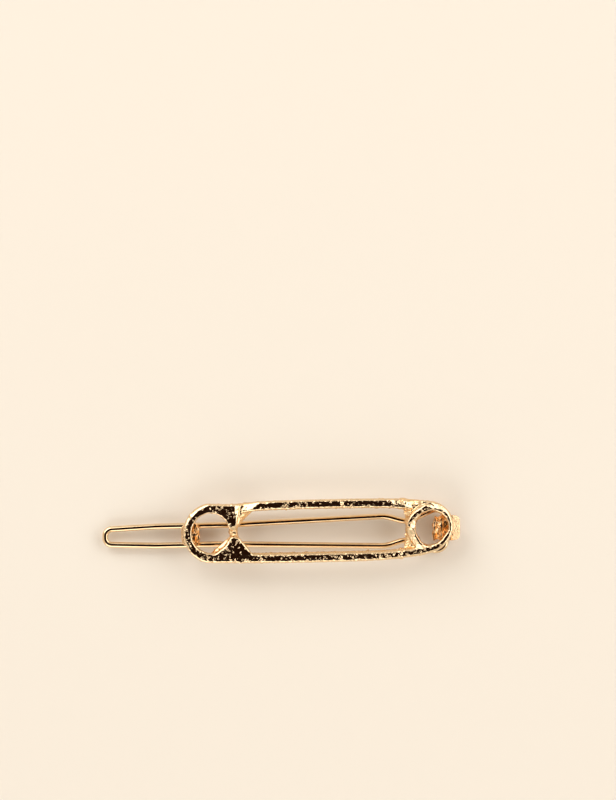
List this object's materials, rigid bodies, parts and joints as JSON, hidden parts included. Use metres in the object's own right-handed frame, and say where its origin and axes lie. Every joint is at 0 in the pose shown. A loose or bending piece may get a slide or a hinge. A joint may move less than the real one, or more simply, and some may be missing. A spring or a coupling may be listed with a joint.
{
  "type": "hairpin",
  "caption": "Gold hairpin: a cast safety-pin ornament with open window and rings, over a bent wire clasp that hinges at one end and snaps on a catch at the other.",
  "frame": {"origin": "under the middle of the pin, on the plane that the catch and the hinge knuckle rest on", "axes": "+X along the pin towards the hinge, +Y across it, +Z out of the ornament's front face"},
  "size_m": [0.0598, 0.0104, 0.0061],
  "materials": {
    "cast_gold": "gold plated casting, lumpy and bright",
    "solder_gold": "gold plated over solder, uneven and bright",
    "wire_gold": "gold plated drawn wire, smooth and bright"
  },
  "bodies": {
    "frame": {"pin_frame": "cast_gold", "catch_post": "solder_gold", "hinge_lug": "solder_gold"},
    "arm": {"wire_arm": "wire_gold"}
  },
  "joints": [
    {"name": "arm_hinge", "type": "hinge", "parent": "frame", "child": "arm", "pos_m": [0.02757, -0.0004, 0.0013], "axis": [0, -1, 0], "range_deg": [0, 180]}
  ]
}
